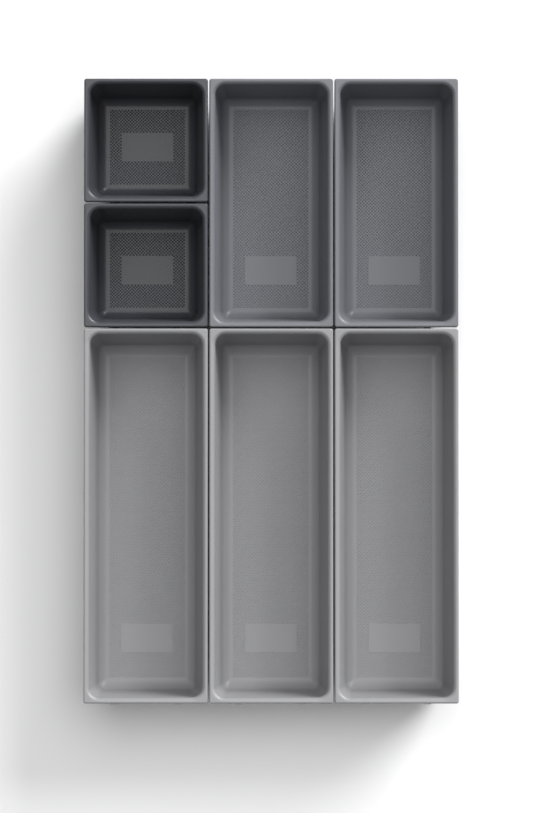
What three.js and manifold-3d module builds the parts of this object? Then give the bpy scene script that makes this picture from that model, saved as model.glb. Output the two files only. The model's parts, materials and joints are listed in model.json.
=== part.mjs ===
// Modular drawer organiser: seven open trays of three lengths filling a 3 by 5 grid, on rubber feet.
// Millimetres, +Z up, +Y to the back of the drawer, origin mid footprint on the drawer floor.
import * as THREE from 'three';
import { mergeVertices } from 'three/addons/utils/BufferGeometryUtils.js';
import Module from 'manifold-3d';

const wasm = await Module();
wasm.setup();

const MERGE_DISTANCE = 1e-4;

// Grid of modules that every tray size fills whole steps of
const MODULE = 76.2;
const GRID_COLUMNS = 3;
const GRID_ROWS = 5;
const RIM_GAP = 0.8;

// Tray section, each inset measured inwards from the outer edge of the rim
const TRAY_TOP = 51;
const FOOT_PROUD = 1;
const WALL = 2;
const FLOOR_INSET = 14;
const FLOOR_FILLET = 6.4;
const OPENING_INSET = 3.5;
const OPENING_RADIUS = 6.4;
const ROLL_WIDTH = 2.5;
const ROLL_DROP = 2.6;
const RIM_EDGE = 0.9;
const RIM_CORNER = 1.5;
const LIP_HEIGHT = 4;
const LEAST_CORNER = 0.3;

// How much longer the floor fillet of each length of tray is along its end walls
const END_REACH = { 1: 0, 2: 0, 3: 1.4 };

// Steps of the curves
const CORNER_STEPS = 4;
const FILLET_STEPS = 3;
const ROLL_STEPS = 4;
const DRAFT_PASSES = 8;

// Blank plate moulded on the floor
const PLATE_WIDTH = 32.2;
const PLATE_LENGTH = 18;
const PLATE_RISE = 0.2;
const PLATE_OFFSET = { 1: 0, 2: 0, 3: 1.4 };

// Two tabs under the front rim that space a tray from the next one, the wider on the left
const TAB_WIDTHS = { left: 5.4, right: 4.2 };
const TAB_SPACING = MODULE / 2;
const TAB_REACH = RIM_GAP - 0.1;
const TAB_ROOT = 3.2;
const TAB_TOP = TRAY_TOP - LIP_HEIGHT - 1;
const TAB_HEIGHT = 8;
const TAB_CHAMFER = 0.3;

// Rubber feet pressed into shallow seats in the base
const FOOT_RADIUS = 4.5;
const FOOT_BEVEL = 0.4;
const SEAT_DEPTH = 0.6;
const SEAT_CLEARANCE = 0.2;
const FOOT_INSET = 20;
const ROUND_SIDES = 16;

const BASE_Z = FOOT_PROUD;
const FLOOR_Z = BASE_Z + WALL;
const OPENING_Z = TRAY_TOP - ROLL_DROP;

// Trays by grid place: column and row of the front left module, and length in modules
const TRAYS = [
  { name: 'small_back', column: 0, row: 4, modules: 1, tone: 'charcoal' },
  { name: 'small_front', column: 0, row: 3, modules: 1, tone: 'charcoal' },
  { name: 'medium_centre', column: 1, row: 3, modules: 2, tone: 'grey' },
  { name: 'medium_right', column: 2, row: 3, modules: 2, tone: 'grey' },
  { name: 'large_left', column: 0, row: 0, modules: 3, tone: 'light' },
  { name: 'large_centre', column: 1, row: 0, modules: 3, tone: 'light' },
  { name: 'large_right', column: 2, row: 0, modules: 3, tone: 'light' },
];

const TONES = { charcoal: 0x4b4e53, grey: 0x86888c, light: 0xb4b6ba };
const RUBBER_GREY = 0x8f9196;

function plastic(tone) {
  return new THREE.MeshStandardMaterial({ color: TONES[tone], roughness: 0.5, metalness: 0 });
}

function rubber() {
  return new THREE.MeshStandardMaterial({ color: RUBBER_GREY, roughness: 0.9, metalness: 0 });
}

function toManifold(geometry) {
  const plain = geometry.clone();
  plain.deleteAttribute('normal');
  plain.deleteAttribute('uv');
  const merged = mergeVertices(plain, MERGE_DISTANCE);
  return new wasm.Manifold(new wasm.Mesh({
    numProp: 3,
    vertProperties: new Float32Array(merged.attributes.position.array),
    triVerts: new Uint32Array(merged.index.array),
  }));
}

function toGeometry(solid) {
  const mesh = solid.getMesh();
  const geometry = new THREE.BufferGeometry();
  geometry.setAttribute('position', new THREE.BufferAttribute(new Float32Array(mesh.vertProperties), 3));
  geometry.setIndex(new THREE.BufferAttribute(new Uint32Array(mesh.triVerts), 1));
  geometry.computeVertexNormals();
  return geometry;
}

// One closed loop round a tray at an inset, as a rounded rectangle
function ringPoints(modules, { inset, radius, z }) {
  const points = [];
  const share = Math.min(1, Math.max(0, 1 - (z - FLOOR_Z) / FLOOR_FILLET));
  const reach = END_REACH[modules] * share ** 2;
  const cornerX = (MODULE - RIM_GAP) / 2 - inset - radius;
  const cornerY = (MODULE * modules - RIM_GAP) / 2 - inset - radius - reach;
  const corners = [[1, 1], [-1, 1], [-1, -1], [1, -1]];
  corners.forEach(([sx, sy], quarter) => {
    for (let step = 0; step <= CORNER_STEPS; step += 1) {
      const angle = (quarter + step / CORNER_STEPS) * Math.PI / 2;
      points.push([
        sx * cornerX + radius * Math.cos(angle),
        sy * cornerY + radius * Math.sin(angle),
        z,
      ]);
    }
  });
  return points;
}

// Skin over a stack of rings, closed by a flat cap at each end
function loft(rings) {
  const count = rings[0].length;
  const positions = rings.flat(2);
  const faces = [];
  for (let level = 0; level + 1 < rings.length; level += 1) {
    for (let i = 0; i < count; i += 1) {
      const a = level * count + i;
      const b = level * count + (i + 1) % count;
      faces.push(a, b, b + count, a, b + count, a + count);
    }
  }
  const last = (rings.length - 1) * count;
  for (let i = 1; i + 1 < count; i += 1) {
    faces.push(0, i + 1, i);
    faces.push(last, last + i, last + i + 1);
  }
  const geometry = new THREE.BufferGeometry();
  geometry.setAttribute('position', new THREE.Float32BufferAttribute(positions, 3));
  geometry.setIndex(faces);
  return geometry;
}

// Insets, corner radii and heights up the outside, over the rim and down the inside of a tray,
// with the wall leaning by the draft that joins the opening to the floor fillet
function traySection() {
  const junction = (angle) => ({
    inset: FLOOR_INSET - FLOOR_FILLET * Math.cos(angle),
    z: FLOOR_Z + FLOOR_FILLET * (1 - Math.sin(angle)),
  });
  let draft = 0;
  for (let pass = 0; pass < DRAFT_PASSES; pass += 1) {
    const { inset, z } = junction(draft);
    draft = Math.atan2(inset - OPENING_INSET, OPENING_Z - z);
  }
  const corner = (inset) => {
    const share = (FLOOR_INSET - inset) / (FLOOR_INSET - OPENING_INSET);
    return LEAST_CORNER + share * (OPENING_RADIUS - LEAST_CORNER);
  };
  const bend = (radius, share) => {
    const angle = share * (Math.PI / 2 - draft);
    const inset = FLOOR_INSET - radius * Math.sin(angle);
    return { inset, radius: corner(inset), z: FLOOR_Z + FLOOR_FILLET - radius * Math.cos(angle) };
  };
  const outside = [];
  for (let step = 0; step <= FILLET_STEPS; step += 1) {
    outside.push(bend(FLOOR_FILLET + WALL, step / FILLET_STEPS));
  }
  const lipZ = TRAY_TOP - LIP_HEIGHT;
  const wallUnderLip = OPENING_INSET + (OPENING_Z - lipZ) * Math.tan(draft) - WALL / Math.cos(draft);
  outside.push({ inset: wallUnderLip, radius: corner(wallUnderLip), z: lipZ });
  outside.push({ inset: 0, radius: RIM_CORNER, z: lipZ });
  outside.push({ inset: 0, radius: RIM_CORNER, z: TRAY_TOP - RIM_EDGE });
  outside.push({ inset: RIM_EDGE, radius: RIM_CORNER - RIM_EDGE, z: TRAY_TOP });
  const inside = [];
  for (let step = 0; step <= ROLL_STEPS; step += 1) {
    const angle = step / ROLL_STEPS * Math.PI / 2;
    const inset = OPENING_INSET - ROLL_WIDTH * (1 - Math.sin(angle));
    inside.push({
      inset,
      z: OPENING_Z + ROLL_DROP * Math.cos(angle),
      radius: OPENING_INSET + OPENING_RADIUS - inset,
    });
  }
  for (let step = FILLET_STEPS; step >= 0; step -= 1) {
    inside.push(bend(FLOOR_FILLET, step / FILLET_STEPS));
  }
  return [...outside, ...inside];
}

const SECTION = traySection();

function prism(outline, height, z) {
  const shape = new THREE.Shape(outline.map(([x, y]) => new THREE.Vector2(x, y)));
  const geometry = new THREE.ExtrudeGeometry(shape, { depth: height, bevelEnabled: false });
  geometry.translate(0, 0, z);
  return geometry;
}

function tabs(modules) {
  const front = -(MODULE * modules - RIM_GAP) / 2;
  return [[-1, TAB_WIDTHS.left], [1, TAB_WIDTHS.right]].map(([side, width]) => {
    const middle = side * TAB_SPACING / 2;
    const solid = prism([
      [middle - width / 2, front + TAB_ROOT],
      [middle - width / 2, front - TAB_REACH + TAB_CHAMFER],
      [middle - width / 2 + TAB_CHAMFER, front - TAB_REACH],
      [middle + width / 2 - TAB_CHAMFER, front - TAB_REACH],
      [middle + width / 2, front - TAB_REACH + TAB_CHAMFER],
      [middle + width / 2, front + TAB_ROOT],
    ], TAB_HEIGHT, TAB_TOP - TAB_HEIGHT);
    return toManifold(solid);
  });
}

function seatPlaces(modules) {
  const x = MODULE / 2 - RIM_GAP / 2 - FOOT_INSET;
  const y = MODULE * modules / 2 - RIM_GAP / 2 - FOOT_INSET;
  return [[-x, -y], [x, -y], [x, y], [-x, y]];
}

function disc(radius, height, bevel, z) {
  const profile = [[0, 0], [radius - bevel, 0], [radius, bevel], [radius, height], [0, height]];
  const points = profile.map(([r, h]) => new THREE.Vector2(r, h));
  const geometry = new THREE.LatheGeometry(points, ROUND_SIDES);
  geometry.rotateX(Math.PI / 2);
  geometry.translate(0, 0, z);
  return geometry;
}

function trayGeometry(modules) {
  let solid = toManifold(loft(SECTION.map((level) => ringPoints(modules, level))));
  for (const tab of tabs(modules)) {
    solid = solid.add(tab);
  }
  const plate = new THREE.BoxGeometry(PLATE_WIDTH, PLATE_LENGTH, PLATE_RISE + WALL / 2);
  const plateY = PLATE_OFFSET[modules] - (modules - 1) * MODULE / 2;
  plate.translate(0, plateY, FLOOR_Z + (PLATE_RISE - WALL / 2) / 2);
  solid = solid.add(toManifold(plate));
  for (const [x, y] of seatPlaces(modules)) {
    const seat = disc(FOOT_RADIUS + SEAT_CLEARANCE, SEAT_DEPTH + BASE_Z, 0, 0);
    seat.translate(x, y, 0);
    solid = solid.subtract(toManifold(seat));
  }
  return toGeometry(solid);
}

const FOOT = disc(FOOT_RADIUS, BASE_Z + SEAT_DEPTH, FOOT_BEVEL, 0);

const organiser = new THREE.Group();
organiser.name = 'drawer_organiser';

for (const { name, column, row, modules, tone } of TRAYS) {
  const place = new THREE.Group();
  place.position.x = (column - (GRID_COLUMNS - 1) / 2) * MODULE;
  place.position.y = (row + modules / 2 - GRID_ROWS / 2) * MODULE;
  organiser.add(place);

  const tray = new THREE.Mesh(trayGeometry(modules), plastic(tone));
  tray.name = `${name}_tray`;
  place.add(tray);

  seatPlaces(modules).forEach(([x, y], index) => {
    const foot = new THREE.Mesh(FOOT, rubber());
    foot.name = `${name}_foot_${index + 1}`;
    foot.position.set(x, y, 0);
    place.add(foot);
  });
}

export default organiser;
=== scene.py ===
"""Modular drawer organiser: seven loose moulded trays in three greys, standing on rubber feet."""

import json
import math

import bmesh
import bpy
from mathutils import Matrix, Vector

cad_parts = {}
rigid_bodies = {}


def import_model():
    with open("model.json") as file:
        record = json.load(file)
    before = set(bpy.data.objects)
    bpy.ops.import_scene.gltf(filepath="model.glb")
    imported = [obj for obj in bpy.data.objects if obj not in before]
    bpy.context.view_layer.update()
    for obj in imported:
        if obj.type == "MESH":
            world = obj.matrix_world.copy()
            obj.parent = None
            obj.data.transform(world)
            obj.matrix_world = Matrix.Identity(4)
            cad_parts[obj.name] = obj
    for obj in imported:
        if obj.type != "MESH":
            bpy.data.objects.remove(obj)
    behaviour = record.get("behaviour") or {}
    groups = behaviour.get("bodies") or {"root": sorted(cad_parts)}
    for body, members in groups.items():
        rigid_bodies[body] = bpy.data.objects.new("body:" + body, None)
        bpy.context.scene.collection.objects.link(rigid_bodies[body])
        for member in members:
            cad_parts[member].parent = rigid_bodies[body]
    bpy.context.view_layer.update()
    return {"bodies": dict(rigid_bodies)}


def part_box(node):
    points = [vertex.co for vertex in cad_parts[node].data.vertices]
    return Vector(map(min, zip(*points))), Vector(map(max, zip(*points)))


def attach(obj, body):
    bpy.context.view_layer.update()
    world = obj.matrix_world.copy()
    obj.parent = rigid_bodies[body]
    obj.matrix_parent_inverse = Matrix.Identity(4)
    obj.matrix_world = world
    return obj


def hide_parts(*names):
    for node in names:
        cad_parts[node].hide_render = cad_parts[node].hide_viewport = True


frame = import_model()

MM = 0.001

# Grid of modules that every tray size fills whole steps of
MODULE = 76.2 * MM
RIM_GAP = 0.8 * MM

# Tray section, each inset measured inwards from the outer edge of the rim
TRAY_TOP = 51 * MM
FOOT_PROUD = 1 * MM
WALL = 2 * MM
FLOOR_INSET = 14 * MM
FLOOR_FILLET = 6.4 * MM
OPENING_INSET = 3.5 * MM
OPENING_RADIUS = 6.4 * MM
ROLL_WIDTH = 2.5 * MM
ROLL_DROP = 2.6 * MM
RIM_EDGE = 0.9 * MM
RIM_CORNER = 1.5 * MM
LIP_HEIGHT = 4 * MM
LIP_EDGE = 0.3 * MM
LEAST_CORNER = 0.3 * MM

# How much longer the floor fillet of each length of tray is along its end walls
END_REACH = {1: 0, 2: 0, 3: 1.4 * MM}

# Steps of the curves
CORNER_STEPS = 10
FILLET_STEPS = 9
ROLL_STEPS = 10
EDGE_STEPS = 4
DRAFT_PASSES = 8

# Blank plate left smooth in the floor
PLATE_WIDTH = 32.2 * MM
PLATE_LENGTH = 18 * MM
PLATE_RISE = 0.2 * MM
PLATE_EDGE = 0.1 * MM
PLATE_OFFSET = {1: 0, 2: 0, 3: 1.4 * MM}

# Grip of small pyramids on every other square of the floor. The real ones repeat every 1.5 mm: these
# are drawn a third coarser, so that they show in a whole view
GRIP_PITCH = PLATE_WIDTH / 16
GRIP_HEIGHT = {1: 0.27 * MM, 2: 0.33 * MM, 3: 0.24 * MM}
FIELD_INSET = 14.2 * MM

# Two tabs under the front rim that space a tray from the next one, the wider on the left
TAB_WIDTHS = {-1: 5.4 * MM, 1: 4.2 * MM}
TAB_SPACING = MODULE / 2
TAB_REACH = RIM_GAP - 0.1 * MM
TAB_ROOT = 3.2 * MM
TAB_TOP = TRAY_TOP - LIP_HEIGHT - 1 * MM
TAB_HEIGHT = 8 * MM
TAB_DRAFT = 0.5 * MM
TAB_EDGE = 0.2 * MM

# Rubber feet pressed into shallow seats in the base
FOOT_RADIUS = 4.5 * MM
FOOT_EDGE = 0.4 * MM
SEAT_DEPTH = 0.6 * MM
SEAT_CLEARANCE = 0.2 * MM
ROUND_SIDES = 48

BASE_Z = FOOT_PROUD
FLOOR_Z = BASE_Z + WALL
OPENING_Z = TRAY_TOP - ROLL_DROP
SHARP_ANGLE = math.radians(40)
LEVEL = 0.99
LEVEL_SLACK = 0.1 * MM

# Soft lights: azimuth from +X towards +Y, elevation and spread in degrees, and irradiance in W/m2
LIGHTS = {
    "window_key": (49, 23, 33, 3.6),
    "overhead": (76, 75, 64, 1.75),
    "room_fill": (0, 90, 170, 0.52),
}
SWEEP_HALF = 6.0

# Camera almost straight above, a little to the front left of the middle
CAMERA_PLACE = Vector((-0.0147, -0.128, 3.183))
CAMERA_AIM = Vector((-0.0001, -0.0098, TRAY_TOP))
CAMERA_LENS = 228.4
SENSOR = 36


def linear(colour):
    """sRGB hex to linear RGBA."""
    channels = [int(colour[i:i + 2], 16) / 255 for i in (0, 2, 4)]
    return [c / 12.92 if c <= 0.04045 else ((c + 0.055) / 1.055) ** 2.4 for c in channels] + [1]


def add_node(tree, kind, settings=(), **links):
    """A node with its settings, and its inputs linked by name, with _ for a space."""
    node = tree.nodes.new(kind)
    for name, value in dict(settings).items():
        if name in node.inputs:
            node.inputs[name].default_value = value
        else:
            setattr(node, name, value)
    for name, socket in links.items():
        tree.links.new(socket, node.inputs[name.replace("_", " ")])
    return node


def new_material(name):
    """A material with an empty node tree, and the tree."""
    material = bpy.data.materials.new(name)
    material.use_nodes = True
    material.node_tree.nodes.clear()
    return material, material.node_tree


# --- Materials -------------------------------------------------------------------------------

# The real grain is about 0.1 mm: drawn three times coarser, so that it shows in the gloss
GRAIN = 0.35 * MM
GRAIN_DEPTH = 0.006 * MM
GLOSS_SPREAD = 0.05
CLOUD = 30 * MM


def moulded_plastic(name, colour, shade, roughness):
    """Injection moulded polypropylene off a spark-eroded tool: an even satin grey that keeps a
    soft highlight, with a pebbled grain that breaks it up and faint clouds where it flowed."""
    material, tree = new_material(name)
    place = add_node(tree, "ShaderNodeTexCoord").outputs["Object"]
    clouds = add_node(tree, "ShaderNodeTexNoise", {"Scale": 1 / CLOUD, "Detail": 3}, Vector=place)
    tint = add_node(tree, "ShaderNodeMix", {"data_type": "RGBA"})
    tree.links.new(clouds.outputs["Fac"], tint.inputs["Factor"])
    tint.inputs[6].default_value = linear(colour)
    tint.inputs[7].default_value = linear(shade)
    grain = add_node(tree, "ShaderNodeTexNoise", {"Scale": 1 / GRAIN, "Detail": 2}, Vector=place)
    gloss = add_node(tree, "ShaderNodeMapRange", {
        "From Min": 0.3, "From Max": 0.7,
        "To Min": roughness - GLOSS_SPREAD, "To Max": roughness + GLOSS_SPREAD,
    }, Value=grain.outputs["Fac"])
    bump = add_node(tree, "ShaderNodeBump", {"Distance": GRAIN_DEPTH}, Height=grain.outputs["Fac"])
    shader = add_node(tree, "ShaderNodeBsdfPrincipled", {"IOR": 1.49}, Roughness=gloss.outputs[0],
                      Base_Color=tint.outputs[2], Normal=bump.outputs[0])
    add_node(tree, "ShaderNodeOutputMaterial", Surface=shader.outputs[0])
    return material


def moulded_rubber():
    """Grey thermoplastic rubber: dull and slightly dusty, with no clear highlight."""
    material, tree = new_material("moulded_foot_rubber")
    place = add_node(tree, "ShaderNodeTexCoord").outputs["Object"]
    grain = add_node(tree, "ShaderNodeTexNoise", {"Scale": 1 / GRAIN, "Detail": 3}, Vector=place)
    dust = add_node(tree, "ShaderNodeMix", {"data_type": "RGBA"})
    tree.links.new(grain.outputs["Fac"], dust.inputs["Factor"])
    dust.inputs[6].default_value = linear("8b8d92")
    dust.inputs[7].default_value = linear("96989c")
    bump = add_node(tree, "ShaderNodeBump", {"Distance": GRAIN_DEPTH}, Height=grain.outputs["Fac"])
    shader = add_node(tree, "ShaderNodeBsdfPrincipled", {"IOR": 1.5, "Roughness": 0.85},
                      Base_Color=dust.outputs[2], Normal=bump.outputs[0])
    add_node(tree, "ShaderNodeOutputMaterial", Surface=shader.outputs[0])
    return material


def studio_paper():
    """Matt white paper sweep, clean enough to burn out to white under the key."""
    material, tree = new_material("studio_paper")
    shader = add_node(tree, "ShaderNodeBsdfPrincipled", {"Base Color": linear("fafafa"), "Roughness": 0.9,
                                                         "Specular IOR Level": 0.0})
    add_node(tree, "ShaderNodeOutputMaterial", Surface=shader.outputs[0])
    return material


# --- Mesh helpers ----------------------------------------------------------------------------

def new_object(name, bm):
    """An object in the scene made of a bmesh, which is used up."""
    mesh = bpy.data.meshes.new(name)
    bm.to_mesh(mesh)
    bm.free()
    piece = bpy.data.objects.new(name, mesh)
    bpy.context.scene.collection.objects.link(piece)
    return piece


def ring_points(modules, inset, radius, z):
    """One closed loop round a tray at an inset, as a rounded rectangle."""
    share = min(1, max(0, 1 - (z - FLOOR_Z) / FLOOR_FILLET))
    reach = END_REACH[modules] * share ** 2
    corner_x = (MODULE - RIM_GAP) / 2 - inset - radius
    corner_y = (MODULE * modules - RIM_GAP) / 2 - inset - radius - reach
    points = []
    for quarter, (sx, sy) in enumerate([(1, 1), (-1, 1), (-1, -1), (1, -1)]):
        for step in range(CORNER_STEPS + 1):
            angle = (quarter + step / CORNER_STEPS) * math.pi / 2
            points.append((sx * corner_x + radius * math.cos(angle),
                           sy * corner_y + radius * math.sin(angle), z))
    return points


def loft(bm, rings):
    """Skin over a stack of rings, closed by a flat cap at each end."""
    loops = [[bm.verts.new(point) for point in ring] for ring in rings]
    for low, high in zip(loops, loops[1:]):
        for i in range(len(low)):
            j = (i + 1) % len(low)
            bm.faces.new((low[i], low[j], high[j], high[i]))
    bm.faces.new(reversed(loops[0]))
    bm.faces.new(loops[-1])


def tray_section():
    """Inset, corner radius and height of each ring: up the outside, over the rim and down the
    inside of a tray, with the wall leaning by the draft that joins the opening to the fillet."""
    draft = 0
    for _ in range(DRAFT_PASSES):
        inset = FLOOR_INSET - FLOOR_FILLET * math.cos(draft)
        z = FLOOR_Z + FLOOR_FILLET * (1 - math.sin(draft))
        draft = math.atan2(inset - OPENING_INSET, OPENING_Z - z)

    def corner(inset):
        share = (FLOOR_INSET - inset) / (FLOOR_INSET - OPENING_INSET)
        return LEAST_CORNER + share * (OPENING_RADIUS - LEAST_CORNER)

    def bend(radius, share):
        angle = share * (math.pi / 2 - draft)
        inset = FLOOR_INSET - radius * math.sin(angle)
        return inset, corner(inset), FLOOR_Z + FLOOR_FILLET - radius * math.cos(angle)

    fillet = [step / FILLET_STEPS for step in range(FILLET_STEPS + 1)]
    quarter = [step / EDGE_STEPS * math.pi / 2 for step in range(EDGE_STEPS + 1)]
    lip_z = TRAY_TOP - LIP_HEIGHT
    under_lip = OPENING_INSET + (OPENING_Z - lip_z) * math.tan(draft) - WALL / math.cos(draft)
    outside = [bend(FLOOR_FILLET + WALL, share) for share in fillet]
    outside.append((under_lip, corner(under_lip), lip_z))
    for angle in quarter:
        inset = LIP_EDGE * (1 - math.sin(angle))
        outside.append((inset, RIM_CORNER - inset, lip_z + LIP_EDGE * (1 - math.cos(angle))))
    for angle in quarter:
        inset = RIM_EDGE * (1 - math.cos(angle))
        outside.append((inset, RIM_CORNER - inset, TRAY_TOP - RIM_EDGE * (1 - math.sin(angle))))
    inside = []
    for step in range(ROLL_STEPS + 1):
        angle = step / ROLL_STEPS * math.pi / 2
        inset = OPENING_INSET - ROLL_WIDTH * (1 - math.sin(angle))
        inside.append((inset, OPENING_INSET + OPENING_RADIUS - inset,
                       OPENING_Z + ROLL_DROP * math.cos(angle)))
    inside += [bend(FLOOR_FILLET, share) for share in reversed(fillet)]
    return outside + inside


def tabs(modules):
    """The two rounded tabs of a tray's front side, as closed solids rooted in its wall."""
    front = -(MODULE * modules - RIM_GAP) / 2
    low_y, high_y = front - TAB_REACH, front + TAB_ROOT
    bm = bmesh.new()
    for side, width in TAB_WIDTHS.items():
        place = Matrix.Translation((side * TAB_SPACING / 2, (low_y + high_y) / 2, TAB_TOP - TAB_HEIGHT / 2))
        size = Matrix.Diagonal((width, high_y - low_y, TAB_HEIGHT, 1))
        corners = bmesh.ops.create_cube(bm, size=1, matrix=place @ size)["verts"]
        for corner in corners:
            if corner.co.y < front and corner.co.z > place.translation.z:
                corner.co.y += TAB_DRAFT
        edges = {edge for corner in corners for edge in corner.link_edges}
        bmesh.ops.bevel(bm, geom=list(edges), offset=TAB_EDGE, segments=3, profile=0.5, affect="EDGES")
    return bm


def lathe(bm, profile, place):
    """A profile of (radius, height) from the axis back to the axis, turned once round."""
    centre_low = bm.verts.new(place @ Vector((0, 0, profile[0][1])))
    centre_high = bm.verts.new(place @ Vector((0, 0, profile[-1][1])))
    loops = []
    for radius, z in profile[1:-1]:
        turns = [2 * math.pi * side / ROUND_SIDES for side in range(ROUND_SIDES)]
        loops.append([bm.verts.new(place @ Vector((radius * math.cos(a), radius * math.sin(a), z)))
                      for a in turns])
    for i in range(ROUND_SIDES):
        j = (i + 1) % ROUND_SIDES
        bm.faces.new((centre_low, loops[0][j], loops[0][i]))
        bm.faces.new((centre_high, loops[-1][i], loops[-1][j]))
        for low, high in zip(loops, loops[1:]):
            bm.faces.new((low[i], low[j], high[j], high[i]))


def cut_and_join(shell, joined, cut):
    """The shell with one set of solids joined to it and another cut from it."""
    for operation, tool in (("UNION", joined), ("DIFFERENCE", cut)):
        modifier = shell.modifiers.new(operation, "BOOLEAN")
        modifier.operation = operation
        modifier.solver = "EXACT"
        modifier.object = tool
    bpy.context.view_layer.update()
    result = bmesh.new()
    result.from_object(shell, bpy.context.evaluated_depsgraph_get())
    for scrap in (shell, joined, cut):
        mesh = scrap.data
        bpy.data.objects.remove(scrap)
        bpy.data.meshes.remove(mesh)
    return result


def even_steps(size, step):
    """The even number of steps that comes nearest to a size."""
    return 2 * round(size / (2 * step))


def grip_floor(bm, modules):
    """Puts the floor's real surface in place of its flat cap: a smooth border, a field of low
    pyramids that stand on every other square, and the smooth plate raised in it."""
    caps = [face for face in bm.faces
            if face.normal.z > LEVEL and abs(face.calc_center_median().z - FLOOR_Z) < LEVEL_SLACK]
    edge_counts = {}
    for face in caps:
        for edge in face.edges:
            edge_counts[edge] = edge_counts.get(edge, 0) + 1
    border = [edge for edge, count in edge_counts.items() if count == 1]
    bmesh.ops.delete(bm, geom=caps, context="FACES_ONLY")

    step = GRIP_PITCH / 2
    columns = even_steps(MODULE - RIM_GAP - 2 * FIELD_INSET, step)
    rows = even_steps(MODULE * modules - RIM_GAP - 2 * (FIELD_INSET + END_REACH[modules]), step)
    plate_columns = even_steps(PLATE_WIDTH, step)
    plate_rows = even_steps(PLATE_LENGTH, step)
    plate_y = PLATE_OFFSET[modules] - (modules - 1) * MODULE / 2
    first = ((columns - plate_columns) // 2, round(plate_y / step) + (rows - plate_rows) // 2)
    last = (first[0] + plate_columns, first[1] + plate_rows)

    def in_plate(i, j, margin):
        return (first[0] + margin <= i <= last[0] - margin
                and first[1] + margin <= j <= last[1] - margin)

    points = {}
    for i in range(columns + 1):
        for j in range(rows + 1):
            if not in_plate(i, j, 1):
                points[i, j] = bm.verts.new(((i - columns / 2) * step, (j - rows / 2) * step, FLOOR_Z))
    field = []
    for i in range(columns):
        for j in range(rows):
            if first[0] <= i < last[0] and first[1] <= j < last[1]:
                continue
            cell = [points[key] for key in ((i, j), (i + 1, j), (i + 1, j + 1), (i, j + 1))]
            if (i + j) % 2 == 0:
                middle = (cell[0].co + cell[2].co) / 2
                peak = bm.verts.new(middle + Vector((0, 0, GRIP_HEIGHT[modules])))
                field += [bm.faces.new((cell[k - 1], cell[k], peak)) for k in range(4)]
            else:
                field.append(bm.faces.new(cell))

    def walk(low, high):
        """The grid points round a rectangle of squares, once round."""
        sides = [(i, low[1]) for i in range(low[0], high[0])]
        sides += [(high[0], j) for j in range(low[1], high[1])]
        sides += [(i, high[1]) for i in range(high[0], low[0], -1)]
        sides += [(low[0], j) for j in range(high[1], low[1], -1)]
        return [points[key] for key in sides]

    outer = walk((0, 0), (columns, rows))
    border += [bm.edges.get((outer[k - 1], outer[k])) for k in range(len(outer))]
    bmesh.ops.triangle_fill(bm, use_beauty=True, edges=border, normal=(0, 0, 1))

    rim = walk(first, last)
    middle = Vector((0, (first[1] + last[1] - rows) / 2 * step, 0))
    half = Vector((plate_columns * step / 2, plate_rows * step / 2))
    for inset, rise in ((0, PLATE_RISE - PLATE_EDGE), (PLATE_EDGE, PLATE_RISE)):
        raised = []
        for vertex in rim:
            offset = vertex.co - middle
            share = ((half.x - inset) / half.x, (half.y - inset) / half.y)
            raised.append(bm.verts.new((offset.x * share[0] + middle.x, offset.y * share[1] + middle.y,
                                        FLOOR_Z + rise)))
        for k in range(len(rim)):
            bm.faces.new((rim[k - 1], rim[k], raised[k], raised[k - 1]))
        rim = raised
    bm.faces.new(rim)
    for face in bm.faces:
        face.smooth = True
    for face in field:
        face.smooth = False


def tray_mesh(modules):
    """One tray of a given length, centred on the origin."""
    shell = bmesh.new()
    loft(shell, [ring_points(modules, *level) for level in tray_section()])
    seats = bmesh.new()
    seat_radius = FOOT_RADIUS + SEAT_CLEARANCE
    seat_profile = [(0, 0), (seat_radius, 0), (seat_radius, BASE_Z + SEAT_DEPTH), (0, BASE_Z + SEAT_DEPTH)]
    for x, y in foot_places(modules):
        lathe(seats, seat_profile, Matrix.Translation((x, y, 0)))
    bm = cut_and_join(new_object("shell", shell), new_object("tabs", tabs(modules)),
                      new_object("seats", seats))
    grip_floor(bm, modules)
    bm.normal_update()
    for edge in bm.edges:
        edge.smooth = edge.is_manifold and edge.calc_face_angle(0) < SHARP_ANGLE
    mesh = bpy.data.meshes.new(f"tray_of_{modules}")
    bm.to_mesh(mesh)
    bm.free()
    return mesh


def foot_places(modules):
    """Middles of a tray's four feet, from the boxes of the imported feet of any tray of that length."""
    name = next(name for name, count in TRAYS.items() if count == modules)
    centre = tray_centre(name)
    places = []
    for number in range(1, 5):
        low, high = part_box(f"{name}_foot_{number}")
        middle = (low + high) / 2 - centre
        places.append((middle.x, middle.y))
    return places


def tray_centre(name):
    """Middle of a tray's rim, measured from its back because the tabs reach past its front."""
    low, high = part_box(f"{name}_tray")
    return Vector(((low.x + high.x) / 2, high.y - (MODULE * tray_modules(name) - RIM_GAP) / 2, 0))


def tray_modules(name):
    """Length of a tray in modules, from its packed box."""
    low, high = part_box(f"{name}_tray")
    return round((high.y - low.y) / MODULE)


TRAYS = {name: tray_modules(name) for name in frame["bodies"]}


def build_trays():
    """The seven trays, sharing one mesh for each length."""
    plastics = {
        1: moulded_plastic("moulded_charcoal_polypropylene", "45464c", "424349", 0.36),
        2: moulded_plastic("moulded_grey_polypropylene", "75777c", "717378", 0.38),
        3: moulded_plastic("moulded_light_polypropylene", "979799", "939395", 0.4),
    }
    meshes = {}
    for modules in sorted(set(TRAYS.values())):
        meshes[modules] = tray_mesh(modules)
        meshes[modules].materials.append(plastics[modules])
    for name, modules in TRAYS.items():
        tray = bpy.data.objects.new(f"{name}_moulding", meshes[modules])
        bpy.context.scene.collection.objects.link(tray)
        tray.location = tray_centre(name)
        weighted = tray.modifiers.new("even_shading", "WEIGHTED_NORMAL")
        weighted.keep_sharp = True
        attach(tray, name)
        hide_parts(f"{name}_tray")


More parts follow.
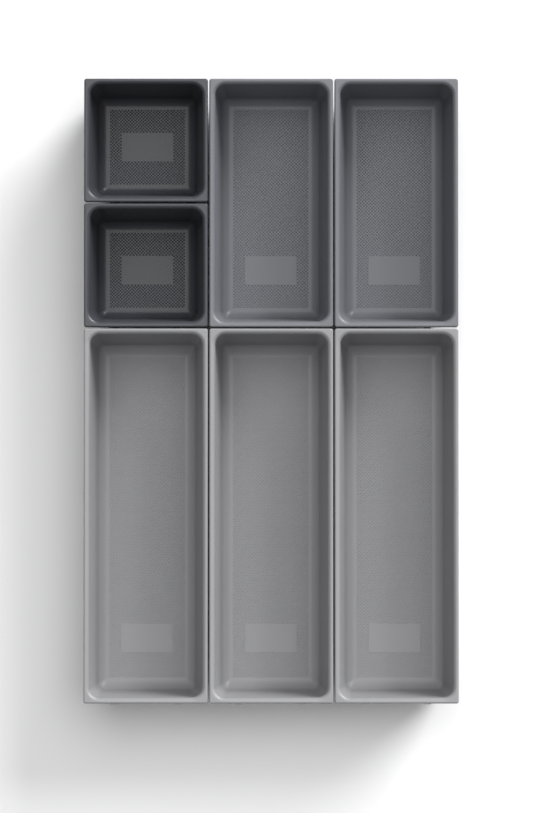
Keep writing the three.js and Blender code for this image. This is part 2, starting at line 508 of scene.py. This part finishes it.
def build_feet():
    """The four feet of every tray, each at the place of its packed foot."""
    rubber = moulded_rubber()
    height = BASE_Z + SEAT_DEPTH
    profile = [(0, 0)]
    for step in range(EDGE_STEPS + 1):
        angle = step / EDGE_STEPS * math.pi / 2
        profile.append((FOOT_RADIUS - FOOT_EDGE * (1 - math.sin(angle)), FOOT_EDGE * (1 - math.cos(angle))))
    profile += [(FOOT_RADIUS, height), (0, height)]
    bm = bmesh.new()
    lathe(bm, profile, Matrix.Identity(4))
    bm.normal_update()
    for face in bm.faces:
        face.smooth = True
    for edge in bm.edges:
        edge.smooth = edge.calc_face_angle(0) < SHARP_ANGLE
    mesh = bpy.data.meshes.new("foot")
    bm.to_mesh(mesh)
    bm.free()
    mesh.materials.append(rubber)
    for name in TRAYS:
        for number in range(1, 5):
            low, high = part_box(f"{name}_foot_{number}")
            foot = bpy.data.objects.new(f"{name}_rubber_foot_{number}", mesh)
            bpy.context.scene.collection.objects.link(foot)
            foot.location = ((low.x + high.x) / 2, (low.y + high.y) / 2, low.z)
            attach(foot, name)
            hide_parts(f"{name}_foot_{number}")


# --- Studio ----------------------------------------------------------------------------------

def build_studio():
    """The paper sweep, the three soft lights and the white beyond."""
    bm = bmesh.new()
    bmesh.ops.create_grid(bm, x_segments=4, y_segments=4, size=SWEEP_HALF)
    floor = new_object("studio_floor", bm)
    floor.data.materials.append(studio_paper())

    for name, (azimuth, elevation, spread, strength) in LIGHTS.items():
        light = bpy.data.lights.new(name, "SUN")
        light.energy = strength
        light.angle = math.radians(spread)
        lamp = bpy.data.objects.new(name, light)
        tilt = Matrix.Rotation(math.radians(90 - elevation), 3, "Y")
        lamp.rotation_euler = (Matrix.Rotation(math.radians(azimuth), 3, "Z") @ tilt).to_euler()
        bpy.context.scene.collection.objects.link(lamp)

    # White backdrop that is only seen behind the floor, so the soft lights alone shape the trays
    world = bpy.data.worlds.new("white_backdrop")
    world.use_nodes = True
    world.node_tree.nodes.clear()
    white = add_node(world.node_tree, "ShaderNodeBackground", {"Color": linear("ffffff")})
    add_node(world.node_tree, "ShaderNodeOutputWorld", Surface=white.outputs[0])
    for ray in ("diffuse", "glossy", "transmission", "scatter"):
        setattr(world.cycles_visibility, ray, False)
    bpy.context.scene.world = world
    bpy.context.scene.view_settings.view_transform = "Standard"


def build_camera():
    """A long lens from high above, held with the back of the set upwards in the frame."""
    lens = bpy.data.cameras.new("camera")
    lens.lens = CAMERA_LENS
    lens.sensor_width = SENSOR
    lens.clip_end = 100
    camera = bpy.data.objects.new("camera", lens)
    bpy.context.scene.collection.objects.link(camera)
    back = (CAMERA_PLACE - CAMERA_AIM).normalized()
    right = Vector((0, 1, 0)).cross(back).normalized()
    turn = Matrix((right, back.cross(right), back)).transposed().to_4x4()
    camera.matrix_world = Matrix.Translation(CAMERA_PLACE) @ turn
    bpy.context.scene.camera = camera


build_camera()
build_studio()
build_trays()
build_feet()
